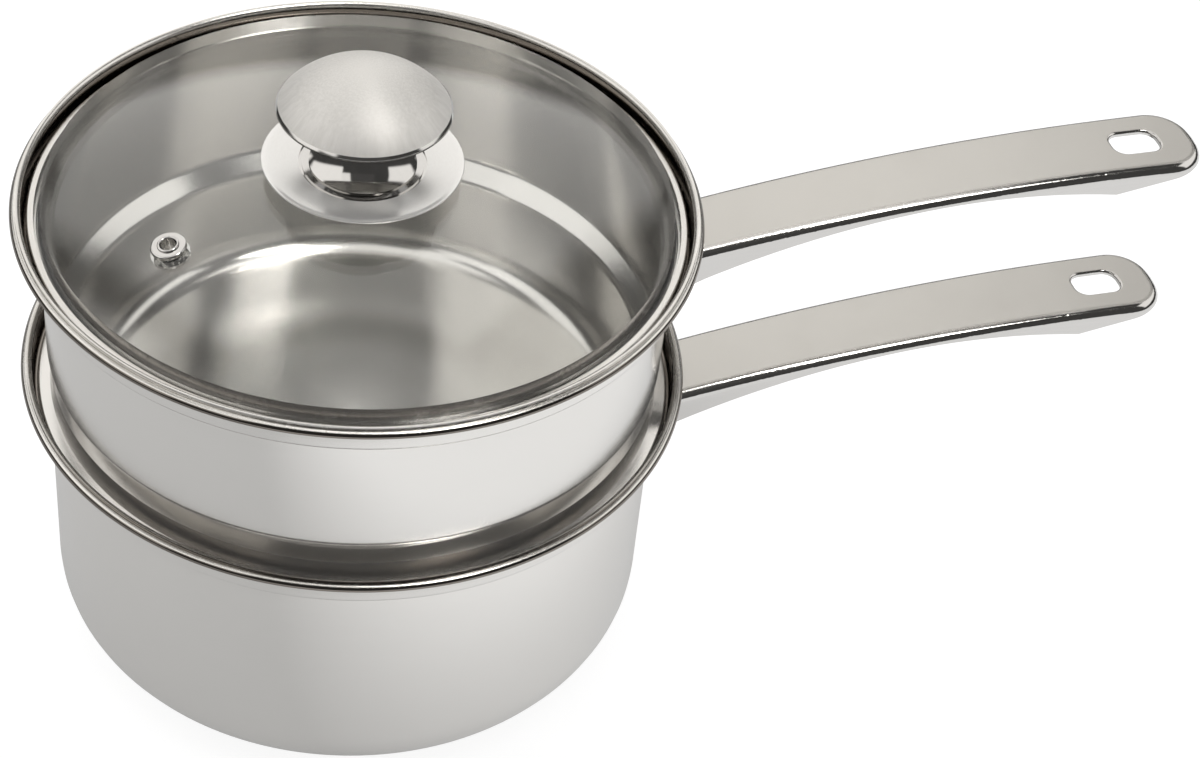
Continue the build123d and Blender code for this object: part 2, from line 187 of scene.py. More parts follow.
class StageSizes(PropertyGroup):
    """Camera, floor and walls of the studio."""

    lens: FloatProperty(name="Lens", description="Focal length", default=79.5, unit="CAMERA")
    place: FloatVectorProperty(
        name="Camera place",
        description="Where the camera stands",
        default=(-0.139172, -0.558189, 0.602774),
        subtype="TRANSLATION",
        unit="LENGTH",
        size=3,
    )
    turn: FloatVectorProperty(
        name="Camera turn",
        description="How the camera is turned",
        default=tuple(math.radians(a) for a in (47.99836, -5.01006, -16.58198)),
        subtype="EULER",
        size=3,
    )
    floor: length("Floor", "Half the floor's side", 3.0)
    floor_dim: share("Floor, dim side", "How bright reflections show the floor's dim side", 0.34)
    floor_bright: share("Floor, bright side", "How bright reflections show its bright side", 0.76)
    floor_seen: share("Floor, seen", "What the camera sees of the floor before any lamp", 0.84)
    bright_side: FloatVectorProperty(
        name="Bright side",
        description="Towards the floor's bright side",
        default=(0.64, -0.77, 0.0),
        subtype="DIRECTION",
        size=3,
    )
    wall_reach: length("Walls", "Distance of the studio's walls", 2.8)
    wall_tone: share("Wall tone", "How much the studio's unlit walls show", 0.06)


PROPS = {
    "db_pan": PanSizes,
    "db_lid": LidSizes,
    "db_knob": KnobSizes,
    "db_finish": Finishes,
    "db_stage": StageSizes,
}


# Outlines: lists of (radius, height) or (x, z), in metres


def rounded_path(points, radii, steps=8):
    """Polyline whose inner corners are bent to the given radii."""
    path = [Vector(points[0])]
    for before, corner, after, radius in zip(points, points[1:], points[2:], radii):
        corner = Vector(corner)
        back = (Vector(before) - corner).normalized()
        ahead = (Vector(after) - corner).normalized()
        half = back.angle(ahead) / 2
        if radius <= 0 or half < 0.01 or half > 1.57:
            path.append(corner)
            continue
        reach = radius / math.tan(half)
        centre = corner + (back + ahead).normalized() * (radius / math.sin(half))
        start = corner + back * reach - centre
        sweep = math.pi - 2 * half
        if start.x * ahead.y - start.y * ahead.x < 0:
            sweep = -sweep
        count = max(2, math.ceil(steps * abs(sweep) / (math.pi / 2)))
        for i in range(count + 1):
            path.append(centre + Matrix.Rotation(sweep * i / count, 2) @ start)
    path.append(Vector(points[-1]))
    return path


def sides_of(path, gauge):
    """Both faces of a sheet along a path: the one on the left and the one on the right."""
    left, right = [], []
    for i, point in enumerate(path):
        runs = []
        if i > 0:
            runs.append((point - path[i - 1]).normalized())
        if i < len(path) - 1:
            runs.append((path[i + 1] - point).normalized())
        across = [Vector((-run.y, run.x)) for run in runs]
        normal = sum(across, Vector((0, 0))).normalized()
        step = normal * (gauge / 2 / normal.dot(across[0]))
        left.append(point + step)
        right.append(point - step)
    return left, right


def arc_from(start, heading, end, count=12):
    """Arc that leaves start along heading and reaches end, without its start."""
    start, end = Vector(start), Vector(end)
    heading = Vector(heading).normalized()
    chord = end - start
    side = Vector((-heading.y, heading.x))
    lean = chord.dot(side)
    if abs(lean) < 1e-9:
        return [end]
    radius = chord.length_squared / (2 * lean)
    centre = start + side * radius
    spoke = start - centre
    sweep = 2 * math.atan2(lean, chord.dot(heading))
    return [centre + Matrix.Rotation(sweep * i / count, 2) @ spoke for i in range(1, count + 1)]


def heading_at_end(points):
    """Direction at the end of a sampled arc."""
    a, b, c = points[-3], points[-2], points[-1]
    last, before = (c - b), (b - a)
    turn = math.atan2(before.x * last.y - before.y * last.x, before.dot(last))
    return Matrix.Rotation(turn / 2, 2) @ last.normalized()


# Meshes

MERGE_REACH = 1e-7


def new_piece(name, mesh_builder, body, replaces=(), sharp=35.0):
    """Object from a closed bmesh, its faces turned outwards, riding on its body."""
    bmesh.ops.remove_doubles(mesh_builder, verts=mesh_builder.verts, dist=MERGE_REACH)
    bmesh.ops.recalc_face_normals(mesh_builder, faces=mesh_builder.faces)
    if mesh_builder.calc_volume(signed=True) < 0:
        bmesh.ops.reverse_faces(mesh_builder, faces=mesh_builder.faces)
    mesh = bpy.data.meshes.new(name)
    mesh_builder.to_mesh(mesh)
    mesh_builder.free()
    mesh.shade_smooth()
    mesh.set_sharp_from_angle(angle=math.radians(sharp))
    piece = bpy.data.objects.new(name, mesh)
    bpy.context.scene.collection.objects.link(piece)
    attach(piece, body)
    if replaces:
        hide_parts(*replaces)
    return piece


def turned(outline, segments, gap=0.0, place=None):
    """Bmesh of a closed outline turned about Z, whole or with a slit of the given angle."""
    bm = bmesh.new()
    whole = gap == 0.0
    sweep = math.tau - gap
    count = segments if whole else segments + 1
    rows = []
    for i in range(count):
        angle = gap / 2 + sweep * i / segments
        c, s = math.cos(angle), math.sin(angle)
        row = []
        for j, point in enumerate(outline):
            if point[0] < MERGE_REACH and i > 0:
                row.append(rows[0][j])
            else:
                row.append(bm.verts.new((point[0] * c, point[0] * s, point[1])))
        rows.append(row)
    size = len(outline)
    for i in range(segments):
        a, b = rows[i], rows[(i + 1) % count]
        for j in range(size):
            k = (j + 1) % size
            corners = []
            for v in (a[j], b[j], b[k], a[k]):
                if v not in corners:
                    corners.append(v)
            if len(corners) > 2:
                bm.faces.new(corners)
    if not whole:
        bm.faces.new(rows[0])
        bm.faces.new(rows[-1])
    if place:
        bmesh.ops.transform(bm, matrix=place, verts=bm.verts)
    return bm


def cut(piece, cutter_builder):
    """Takes the cutter's form out of a piece, for good."""
    mesh = bpy.data.meshes.new("cutter")
    bmesh.ops.recalc_face_normals(cutter_builder, faces=cutter_builder.faces)
    cutter_builder.to_mesh(mesh)
    cutter_builder.free()
    cutter = bpy.data.objects.new("cutter", mesh)
    bpy.context.scene.collection.objects.link(cutter)
    tool = piece.modifiers.new("cut", "BOOLEAN")
    tool.operation = "DIFFERENCE"
    tool.solver = "EXACT"
    tool.object = cutter
    graph = bpy.context.evaluated_depsgraph_get()
    result = bpy.data.meshes.new_from_object(piece.evaluated_get(graph))
    piece.modifiers.remove(tool)
    old = piece.data
    piece.data = result
    bpy.data.meshes.remove(old)
    bpy.data.objects.remove(cutter)
    bpy.data.meshes.remove(mesh)


def prism(points, low, high):
    """Bmesh of a flat outline drawn up between two heights."""
    bm = bmesh.new()
    rows = [[bm.verts.new((p[0], p[1], z)) for p in points] for z in (low, high)]
    bm.faces.new(rows[0])
    bm.faces.new(rows[1])
    for i in range(len(points)):
        j = (i + 1) % len(points)
        bm.faces.new((rows[0][i], rows[0][j], rows[1][j], rows[1][i]))
    return bm


# Materials

# Run of the grain: how fast it changes along itself and across
WALL_RUN = (3.0, 1500.0)
RIM_RUN = (6.0, 1500.0)
HANDLE_RUN = (60.0, 2600.0)
SPUN_RUN = (16.0, 3200.0)
NECK_RUN = (16.0, 3000.0)
DISC_RUN = (8.0, 900.0)

# Depth of the grain, in metres
MIRROR_DEPTH = 0.02e-5
SHEET_DEPTH = 0.04e-5
CAP_DEPTH = 0.08e-5
FLANGE_DEPTH = 0.1e-5
NECK_DEPTH = 0.2e-5
HANDLE_DEPTH = 0.5e-5
ROLLED_DEPTH = 2e-5

GRAIN_SHARE = 0.45  # how much of the tone follows the grain; the rest follows the clouds
ROUGH_SWING = 0.07  # how far the roughness swings either way
SMEAR = 0.12  # how much rougher a handling mark is
QUARTER_TURN = 0.25  # turns the wide side of a highlight across the grain
# How far up a pressed face looks where its satin starts, and where it is full
SATIN_FROM, SATIN_FULL = 0.93, 0.975
GLASS_IOR = 1.47


class Nodes:
    """Small helper that fills one node tree."""

    def __init__(self, tree):
        self.tree = tree
        tree.nodes.clear()

    def add(self, kind, inputs=(), **settings):
        node = self.tree.nodes.new(kind)
        for key, value in settings.items():
            setattr(node, key, value)
        for key, value in dict(inputs).items():
            socket = node.inputs[key]
            if isinstance(value, bpy.types.NodeSocket):
                self.link(value, socket)
            else:
                socket.default_value = value
        return node

    def link(self, source, target):
        self.tree.links.new(source, target)

    def math(self, operation, a, b=0.0):
        return self.add("ShaderNodeMath", {0: a, 1: b}, operation=operation).outputs[0]

    def spread(self, value, low, high, from_low=0.0, from_high=1.0):
        """Value mapped from one span to another."""
        node = self.add("ShaderNodeMapRange", {0: value, 1: from_low, 2: from_high, 3: low, 4: high})
        return node.outputs[0]

    def noise(self, vector, scale=1.0, detail=2.0, roughness=0.5):
        inputs = {"Vector": vector, "Scale": scale, "Detail": detail, "Roughness": roughness}
        return self.add("ShaderNodeTexNoise", inputs).outputs[0]

    def mix(self, factor, first, second):
        return self.add("ShaderNodeMix", {0: factor, 6: first, 7: second}, data_type="RGBA").outputs[2]

    def float_mix(self, factor, first, second):
        return self.add("ShaderNodeMix", {0: factor, 2: first, 3: second}).outputs[0]

    def blend(self, factor, first, second):
        """Mix of two plain colours."""
        return self.mix(factor, (*first, 1.0), (*second, 1.0))

    def place(self):
        return self.add("ShaderNodeTexCoord").outputs["Object"]

    def round_grain(self, around, across):
        """Coordinates that run slowly round Z and fast across it, with no seam."""
        where = self.add("ShaderNodeSeparateXYZ", {0: self.place()})
        flat = self.add("ShaderNodeCombineXYZ", {0: where.outputs[0], 1: where.outputs[1]}).outputs[0]
        reach = self.add("ShaderNodeVectorMath", {0: flat}, operation="LENGTH").outputs["Value"]
        heading = self.add("ShaderNodeVectorMath", {0: flat}, operation="NORMALIZE").outputs[0]
        turned_by = self.add("ShaderNodeSeparateXYZ", {0: heading})
        travel = self.math("ADD", where.outputs[2], reach)
        parts = {
            0: self.math("MULTIPLY", turned_by.outputs[0], around),
            1: self.math("MULTIPLY", turned_by.outputs[1], around),
            2: self.math("MULTIPLY", travel, across),
        }
        return self.add("ShaderNodeCombineXYZ", parts).outputs[0]

    def straight_grain(self, along, across):
        """Coordinates that run slowly along X and fast across it."""
        speeds = (along, across, across)
        node = self.add("ShaderNodeVectorMath", {0: self.place(), 1: speeds}, operation="MULTIPLY")
        return node.outputs[0]


def surface_nodes(name):
    """Fresh material with a Principled surface, wrapped in the helper."""
    material = bpy.data.materials.new(name)
    material.use_nodes = True
    n = Nodes(material.node_tree)
    n.material = material
    n.surface = n.add("ShaderNodeBsdfPrincipled")
    out = n.add("ShaderNodeOutputMaterial")
    n.link(n.surface.outputs["BSDF"], out.inputs["Surface"])
    return n


def steel(name, tones, roughness, run, depth, anisotropy=0.0, turned_round=True, polished=None, metal=1.0):
    """Sheet metal: fine grain, slow clouding, faint handling marks.

    The tones are a light and a darker one, or the same one twice. With polished given as
    (tones, roughness), faces that don't look up get that finish.
    """
    n = surface_nodes(name)
    surface = n.surface
    vector = n.round_grain(*run) if turned_round else n.straight_grain(*run)
    fine = n.noise(vector, detail=3.0, roughness=0.6)
    clouds = n.noise(n.place(), scale=14.0, detail=3.0, roughness=0.55)
    marks = n.noise(n.place(), scale=60.0, detail=4.0, roughness=0.7)
    grain_part = n.math("MULTIPLY", fine, GRAIN_SHARE)
    cloud_part = n.math("MULTIPLY", clouds, 1 - GRAIN_SHARE)
    mixed = n.spread(n.math("ADD", grain_part, cloud_part), 0.0, 1.0, from_low=0.3, from_high=0.7)
    colour_out = n.blend(mixed, tones[1], tones[0])
    smooth, dull = roughness * (1 - ROUGH_SWING), roughness * (1 + ROUGH_SWING)
    rough = n.spread(fine, smooth, dull, from_low=0.3, from_high=0.7)
    height = n.spread(fine, 0.0, 1.0)
    if polished:
        up = n.add("ShaderNodeSeparateXYZ", {0: n.add("ShaderNodeNewGeometry").outputs["Normal"]})
        satin = n.spread(up.outputs[2], 0.0, 1.0, from_low=SATIN_FROM, from_high=SATIN_FULL)
        bright = n.blend(mixed, polished[0][1], polished[0][0])
        colour_out = n.mix(satin, bright, colour_out)
        rough = n.math("ADD", n.math("MULTIPLY", rough, satin), n.spread(satin, polished[1], 0.0))
        height = n.math("MULTIPLY", height, n.spread(satin, 0.15, 1.0))
    if tones[0] == tones[1]:
        surface.inputs["Base Color"].default_value = (*tones[0], 1.0)
    else:
        n.link(colour_out, surface.inputs["Base Color"])
    smear = n.spread(marks, 0.0, roughness * SMEAR, from_low=0.45, from_high=0.85)
    n.link(n.math("ADD", rough, smear), surface.inputs["Roughness"])
    surface.inputs["Metallic"].default_value = metal
    if anisotropy:
        surface.inputs["Anisotropic"].default_value = anisotropy
        surface.inputs["Anisotropic Rotation"].default_value = QUARTER_TURN
        tangent = n.add("ShaderNodeTangent", direction_type="RADIAL", axis="Z" if turned_round else "X")
        n.link(tangent.outputs[0], surface.inputs["Tangent"])
    bump = n.add("ShaderNodeBump", {"Strength": 0.5, "Distance": depth, "Height": height})
    n.link(bump.outputs[0], surface.inputs["Normal"])
    return n.material


def satin_sheet(name, roughness):
    """Satin face of a drawn pan, brushed round its axis."""
    f = bpy.context.scene.db_finish
    # With metal 0.88 a little of the lifted pale tone also takes diffuse light: painted fill light on the
    # pans.
    tones = (f.pale_painted_light, f.pale_shade)
    return steel(name, tones, roughness, WALL_RUN, SHEET_DEPTH, anisotropy=0.8, metal=0.88)


def pressed_handle(name):
    """Handle that is satin where it looks up and polished on its bent sides."""
    f = bpy.context.scene.db_finish
    sides = ((f.bright, f.bright_shade), f.rim_roughness)
    tones = (f.steel, f.steel_shade)
    return steel(
        name, tones, f.handle_roughness, HANDLE_RUN, HANDLE_DEPTH, turned_round=False, polished=sides
    )


def finish(name):
    """Material by the name of its finish."""
    f = bpy.context.scene.db_finish
    # The pale pair is a lifted tone, painted light on the rims and the knob cap; the cap's metal 0.7 lets
    # part of it take diffuse light.
    pale_painted_light = (f.pale_painted_light, f.steel)
    makers = {
        "satin_wall": lambda: satin_sheet(name, f.wall_roughness),
        "satin_inside": lambda: satin_sheet(name, f.inside_roughness),
        "polished_rim": lambda: steel(name, pale_painted_light, 0.26, RIM_RUN, SHEET_DEPTH),
        # Painted shade in the recess under the rims: a very dark polished steel.
        "painted_shade_recess": lambda: steel(name, (f.recess, f.recess), 0.1, RIM_RUN, MIRROR_DEPTH),
        "pressed_handle": lambda: pressed_handle(name),
        "satin_knob": lambda: steel(
            name, pale_painted_light, f.knob_roughness, SPUN_RUN, CAP_DEPTH, anisotropy=0.3, metal=0.7
        ),
        # Painted reflection on the knob's flange: a near-white tone, with metal 0.55 so that part of it
        # takes diffuse light.
        "satin_flange_painted_light": lambda: steel(name, (f.flange, f.pale_painted_light), 0.22, SPUN_RUN, FLANGE_DEPTH, metal=0.55),
        "polished_knob": lambda: steel(
            name, (f.bright, f.bright_shade), f.rim_roughness, NECK_RUN, NECK_DEPTH
        ),
        "rolled_aluminium": lambda: steel(name, (f.aluminium, f.steel_shade), 0.4, DISC_RUN, ROLLED_DEPTH),
        "clear_glass": lambda: clear_glass(name, f.glass),
        "soft_silicone": lambda: soft_silicone(name, f.silicone),
    }
    return bpy.data.materials.get(name) or makers[name]()


def clear_glass(name, tint):
    """Tempered glass with a faint tint and the odd wiped streak."""
    n = surface_nodes(name)
    surface = n.surface
    surface.inputs["Base Color"].default_value = (*tint, 1.0)
    surface.inputs["Transmission Weight"].default_value = 1.0
    surface.inputs["IOR"].default_value = GLASS_IOR
    streaks = n.noise(n.straight_grain(along=20.0, across=90.0), detail=4.0, roughness=0.6)
    n.link(n.spread(streaks, 0.0, 0.012, from_low=0.5, from_high=0.9), surface.inputs["Roughness"])
    return n.material


def soft_silicone(name, tint):
    """Matt silicone that lets a little light in."""
    n = surface_nodes(name)
    surface = n.surface
    grain = n.noise(n.place(), scale=900.0, detail=3.0, roughness=0.6)
    darker = tuple(channel * 0.85 for channel in tint)
    n.link(n.blend(grain, darker, tint), surface.inputs["Base Color"])
    n.link(n.spread(grain, 0.45, 0.6), surface.inputs["Roughness"])
    surface.inputs["Subsurface Weight"].default_value = 0.2
    surface.inputs["Subsurface Scale"].default_value = 0.002
    bump = n.add("ShaderNodeBump", {"Strength": 0.3, "Distance": 1e-5, "Height": grain})
    n.link(bump.outputs[0], surface.inputs["Normal"])
    return n.material


def paint(piece, *names):
    """Gives a piece its finishes, the first one everywhere."""
    piece.data.materials.clear()
    for name in names:
        piece.data.materials.append(finish(name))


def paint_where(piece, index, test):
    """Gives the faces that pass the test another of the piece's finishes."""
    for face in piece.data.polygons:
        if test(face):
            face.material_index = index


def paint_node(node, name):
    """Gives a carried-over node its finish."""
    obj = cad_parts[node]
    obj.data.materials.clear()
    obj.data.materials.append(finish(name))
    for face in obj.data.polygons:
        face.material_index = 0


# Pans

# The last of a pan's finishes paints shade into the recess under its bead.
INSIDE, RIM, PAINTED_SHADE = 1, 2, 3  # a pan's finishes after that of its outside wall
LOOKS_UP = 0.3


def bead_outline(pan, rim):
    """Curled rim from its inner face, over the top, down to its underside."""
    outer = pan.rim_radius
    inner = outer - pan.bead_width
    low = rim - pan.bead_height
    points = [(inner, low), (inner, rim), (outer, rim), (outer, low), (inner + pan.gauge, low)]
    return rounded_path(points, [pan.bead_bend] * 3, steps=9)


def shell(pan, points, radii, rim, extra=None):
    """Closed outline of a pressed pan whose middle line runs through points to the bead.

    The points in extra, if any, are let into its outside: they are the folded seat bead.
    """
    middle = pan.rim_radius - pan.bead_width + pan.gauge / 2
    ledge = rim - pan.ledge_depth - pan.gauge / 2
    wall = pan.rim_radius - pan.wall_inset - pan.gauge / 2
    points = points + [(wall, ledge), (middle, ledge), (middle, rim - pan.bead_height)]
    path = rounded_path(points, radii + [pan.ledge_bend, pan.recess_bend], steps=10)
    inside, outside = sides_of(path, pan.gauge)
    if extra:
        level = extra[0][1]
        spot = max(i for i, p in enumerate(outside) if p.y < level)
        outside = outside[: spot + 1] + [Vector(p) for p in extra] + outside[spot + 1 :]
    bead = bead_outline(pan, rim)
    return inside + bead[1:-1] + outside[::-1]


def paint_pan(piece, pan, rim):
    """Satin wall and inside, polished bead, and under it a polished recess with painted shade: a very dark
    base colour.
    """
    paint(piece, "satin_wall", "satin_inside", "polished_rim", "painted_shade_recess")
    painted_shade_low = rim - pan.ledge_depth - pan.gauge
    painted_shade_high = rim - pan.bead_bend
    bead_low = rim - 1.1 * pan.bead_height
    for face in piece.data.polygons:
        centre, normal = face.center, face.normal
        inward = normal.z > LOOKS_UP or normal.xy.dot(centre.xy) < 0
        # Painted shade: faces that look up or in, between the ledge and the bead's bend, get the dark
        # recess finish.
        if inward and painted_shade_low < centre.z < painted_shade_high:
            face.material_index = PAINTED_SHADE
        elif centre.z > bead_low:
            face.material_index = RIM
        elif inward:
            face.material_index = INSIDE


class DB_OT_lower_pan(Operator):
    """Build the lower saucepan's shell and finish its base"""

    bl_idname = "db.lower_pan"
    bl_label = "Lower saucepan"

    def execute(self, context):
        pan = context.scene.db_pan
        floor = pan.lower_floor + pan.gauge / 2
        wall = pan.rim_radius - pan.wall_inset - pan.gauge / 2
        outline = shell(pan, [(0, floor), (wall, floor)], [pan.lower_bend], pan.lower_rim)
        bm = turned(outline, pan.segments)
        piece = new_piece("saucepan_shell", bm, LOWER, ["lower_pan_body"])
        paint_pan(piece, pan, pan.lower_rim)
        paint_node("lower_base_cap", "satin_wall")
        paint_node("lower_base_core", "rolled_aluminium")
        return {"FINISHED"}


class DB_OT_insert_pan(Operator):
    """Build the insert pan's stepped shell with its seat bead"""

    bl_idname = "db.insert_pan"
    bl_label = "Insert pan"

    def execute(self, context):
        pan = context.scene.db_pan
        floor = pan.upper_floor + pan.gauge / 2
        wall = pan.rim_radius - pan.wall_inset - pan.gauge / 2
        nest = wall - pan.nest_step
        top = pan.upper_rim - pan.shoulder_depth
        points = [(0, floor), (nest, floor), (nest, top - (wall - nest)), (wall, top)]
        radii = [pan.nest_bend, pan.shoulder_bend, pan.shoulder_bend]
        seat = pan.lower_rim - pan.ledge_depth
        root = nest + pan.gauge / 2
        nose = pan.rim_radius - pan.bead_width - pan.seat_gap
        high = seat + pan.seat_gauge
        fold = [(root, seat), (nose, seat), (nose, high), (root, high)]
        bead = rounded_path(fold, [pan.seat_nose] * 2, steps=6)
        outline = shell(pan, points, radii, pan.upper_rim, bead)
        bm = turned(outline, pan.segments)
        piece = new_piece("insert_shell", bm, INSERT, ["upper_pan_body"])
        paint_pan(piece, pan, pan.upper_rim)
        return {"FINISHED"}


# Handles


class DB_OT_handles(Operator):
    """Finish both pressed handles and their brackets"""

    bl_idname = "db.handles"
    bl_label = "Handles"

    def execute(self, context):
        for node in ("lower_handle", "upper_handle"):
            paint_node(node, "pressed_handle")
        for node in ("lower_handle_bracket", "upper_handle_bracket"):
            paint_node(node, "satin_inside")
        return {"FINISHED"}


# Lid

SCREW_HOLE = 2.6 * MM
VENT_HOLE = 3.1 * MM


def dome_height(lid, reach):
    """Height of the glass's top face at a distance from the axis."""
    return lid.dome_top - lid.dome_radius + math.sqrt(lid.dome_radius**2 - reach * reach)


def vent_frame(lid):
    """Place of the vent, its Z along the glass's normal."""
    tilt = math.asin(lid.vent_reach / lid.dome_radius)
    spot = Matrix.Translation((lid.vent_reach, 0, dome_height(lid, lid.vent_reach)))
    return Matrix.Rotation(lid.vent_azimuth, 4, "Z") @ spot @ Matrix.Rotation(tilt, 4, "Y")


class DB_OT_lid_glass(Operator):
    """Build the domed glass with its vent hole"""

    bl_idname = "db.lid_glass"
    bl_label = "Lid glass"

    def execute(self, context):
        lid = context.scene.db_lid
        pan = context.scene.db_pan
        edge = lid.glass_radius - lid.brim_width
        steps = 40
        reaches = [SCREW_HOLE + (edge - SCREW_HOLE) * i / steps for i in range(steps + 1)]
        over = [(r, dome_height(lid, r)) for r in reaches]
        brim = over[-1][1]
        outline = over + [(lid.glass_radius, brim), (lid.glass_radius, brim - lid.glass_gauge)]
        outline += [(r, z - lid.glass_gauge) for r, z in reversed(over)]
        bm = turned(outline, pan.segments)
        piece = new_piece("lid_dome", bm, LID, ["lid_glass"], sharp=40.0)
        angles = [math.tau * i / 48 for i in range(48)]
        circle = [(VENT_HOLE * math.cos(a), VENT_HOLE * math.sin(a)) for a in angles]
        cutter = prism(circle, -10 * MM, 10 * MM)
        bmesh.ops.transform(cutter, matrix=vent_frame(lid), verts=cutter.verts)
        cut(piece, cutter)
        paint(piece, "clear_glass")
        return {"FINISHED"}


class DB_OT_lid_band(Operator):
    """Build the rolled steel band with its butt seam"""

    bl_idname = "db.lid_band"
    bl_label = "Lid band"

    def execute(self, context):
        lid = context.scene.db_lid
        pan = context.scene.db_pan
        middle = lid.band_radius - lid.band_gauge / 2
        seat = bottom_of("lid_rim_band").z + lid.band_gauge / 2
        top = top_of("lid_rim_band").z - lid.band_gauge / 2
        points = [
            (lid.band_radius - lid.band_seat_reach, seat),
            (middle, seat),
            (middle, top),
            (lid.band_radius - lid.band_top_reach, top),
        ]
        path = rounded_path(points, [lid.band_bend] * 2, steps=6)
        inside, outside = sides_of(path, lid.band_gauge)
        outline = inside + outside[::-1]
        gap = lid.seam_width / lid.band_radius
        turn = Matrix.Rotation(lid.seam_azimuth, 4, "Z")
        bm = turned(outline, pan.segments, gap, turn)
        piece = new_piece("lid_band", bm, LID, ["lid_rim_band"])
        paint(piece, "polished_rim")
        return {"FINISHED"}


class DB_OT_vent(Operator):
    """Finish the vent eyelet and its washer"""

    bl_idname = "db.vent"
    bl_label = "Vent"

    def execute(self, context):
        paint_node("vent_eyelet", "polished_knob")
        paint_node("vent_washer", "polished_knob")
        return {"FINISHED"}


# Knob

KNOB_SEGMENTS = 192
CAP_BENDS = (0.25 * MM, 0.3 * MM)  # outer and inner bend of the cap's turned-down edge
CAP_SHINE = 0.4 * MM  # how far the edge's polish runs up the dome
DISH_HEADING = (1, -0.02)  # how the flange leaves its groove
FLANGE_LIP = 0.5 * MM  # width of the flange's rounded edge
# Points round that edge: how far in from its outside, and at what share of the sheet's thickness
LIP_POINTS = ((0.12 * MM, 0.125), (0.0, 0.5), (0.12 * MM, 0.9))


class DB_OT_knob(Operator):
    """Build the knob's cap, neck and flange"""

    bl_idname = "db.knob"
    bl_label = "Knob"

    def execute(self, context):
        knob = context.scene.db_knob
        self.build_cap(knob)
        self.build_neck(knob)
        self.build_flange(knob)
        return {"FINISHED"}

    def build_cap(self, knob):
        edge = knob.cap_top - knob.cap_dome
        low = edge - knob.cap_edge
        radius = (knob.cap_radius**2 + knob.cap_dome**2) / (2 * knob.cap_dome)
        centre = knob.cap_top - radius
        inner = knob.cap_radius - knob.cap_gauge
        inner_edge = centre + math.sqrt((radius - knob.cap_gauge) ** 2 - inner**2)
        top = (0, knob.cap_top)
        over = [Vector(top)] + arc_from(top, (1, 0), (knob.cap_radius, edge), count=30)
        start = (0, knob.cap_top - knob.cap_gauge)
        under = [Vector(start)] + arc_from(start, (1, 0), (inner, inner_edge), count=16)
        rim = [over[-2], over[-1], (knob.cap_radius, low), (inner, low)]
        outline = over[:-1] + rounded_path(rim, CAP_BENDS, steps=6)[1:] + under[::-1]
        bm = turned(outline, KNOB_SEGMENTS)
        piece = new_piece("knob_dome", bm, LID, ["knob_cap"])
        paint(piece, "satin_knob", "polished_knob")
        paint_where(piece, 1, lambda face: face.center.z < edge + CAP_SHINE)

    def build_neck(self, knob):
        half = knob.neck_gauge / 2
        foot = knob.flange_top + FIT_GAP
        brim_low = knob.cap_top - knob.cap_dome - knob.cap_edge + FIT_GAP
        low = (knob.foot_radius - half, foot)
        waist = (knob.waist_radius - half, foot + knob.waist_rise)
        throat = (knob.throat_radius - half, foot + knob.throat_rise)
        brim = (top_of("knob_body").x, brim_low + half)
        flare = arc_from(waist, (0, -1), low, count=20)
        neck = arc_from(waist, (0, 1), throat, count=12)
        under = arc_from(throat, heading_at_end(neck), brim, count=14)
        path = flare[::-1] + [Vector(waist)] + neck + under
        inside, outside = sides_of(path, knob.neck_gauge)
        outline = [Vector((p.x, max(p.y, foot))) for p in inside + outside[::-1]]
        bm = turned(outline, KNOB_SEGMENTS)
        piece = new_piece("knob_neck", bm, LID, ["knob_body"])
        paint(piece, "polished_knob")

    def build_flange(self, knob):
        top = knob.flange_top
        low = top - knob.flange_gauge
        groove = knob.groove_radius
        inner = groove - knob.groove_width
        groove_low = top - knob.groove_depth
        lip = knob.flange_radius - FLANGE_LIP
        dish = arc_from((groove, top), DISH_HEADING, (lip, top + knob.flange_rise), count=8)
        dish_low = arc_from((groove, low), DISH_HEADING, (lip, low + knob.flange_rise), count=8)
        edge = [
            (knob.flange_radius - inset, low + knob.flange_rise + share_up * knob.flange_gauge)
            for inset, share_up in LIP_POINTS
        ]
        outline = [(SCREW_HOLE, low), (groove, low)] + [tuple(p) for p in dish_low] + edge
        outline += [tuple(p) for p in reversed(dish)] + [(groove, top)]
        outline += [(groove, groove_low), (inner, groove_low), (inner, top), (SCREW_HOLE, top)]
        bm = turned(outline, KNOB_SEGMENTS)
        piece = new_piece("knob_flange", bm, LID, ["knob_base"])
        paint(piece, "satin_flange_painted_light", "polished_knob")
        paint_where(piece, 1, lambda face: face.center.xy.length < knob.groove_radius)


class DB_OT_fastening(Operator):
    """Finish the screw, washers and boss that hold the knob"""

    bl_idname = "db.fastening"
    bl_label = "Knob fastening"

    def execute(self, context):
        for node in ("knob_boss", "knob_washer", "knob_lock_washer", "knob_screw"):
            paint_node(node, "polished_knob")
        for node in ("knob_gasket_upper", "knob_gasket_lower"):
            paint_node(node, "soft_silicone")
        return {"FINISHED"}


# Stage

WHITE = (1.0, 1.0, 1.0, 1.0)
WALL_WHITE = (1.0, 0.98, 0.95, 1.0)
FLOOR_GREY = (0.3, 0.3, 0.3, 1.0)
FLOOR_DROP = 0.2 * MM  # keeps the floor clear of the base
FLOOR_TURN = (0.05, 0.17)  # where the floor goes from its dim side to its bright one
FILL, SURROUND = 0.6, 1.0  # the world as a light, and as what is seen

# Lamps: name, width, height, azimuth and elevation in degrees, distance, glow
LAMPS = (
    ("back_lamp", 1.1, 1.5, 75, 47, 1.5, 1.0),
    ("left_lamp", 1.2, 1.2, 152, 42, 1.5, 0.7),
    ("top_lamp", 1.0, 1.0, -60, 75, 1.7, 0.9),
)

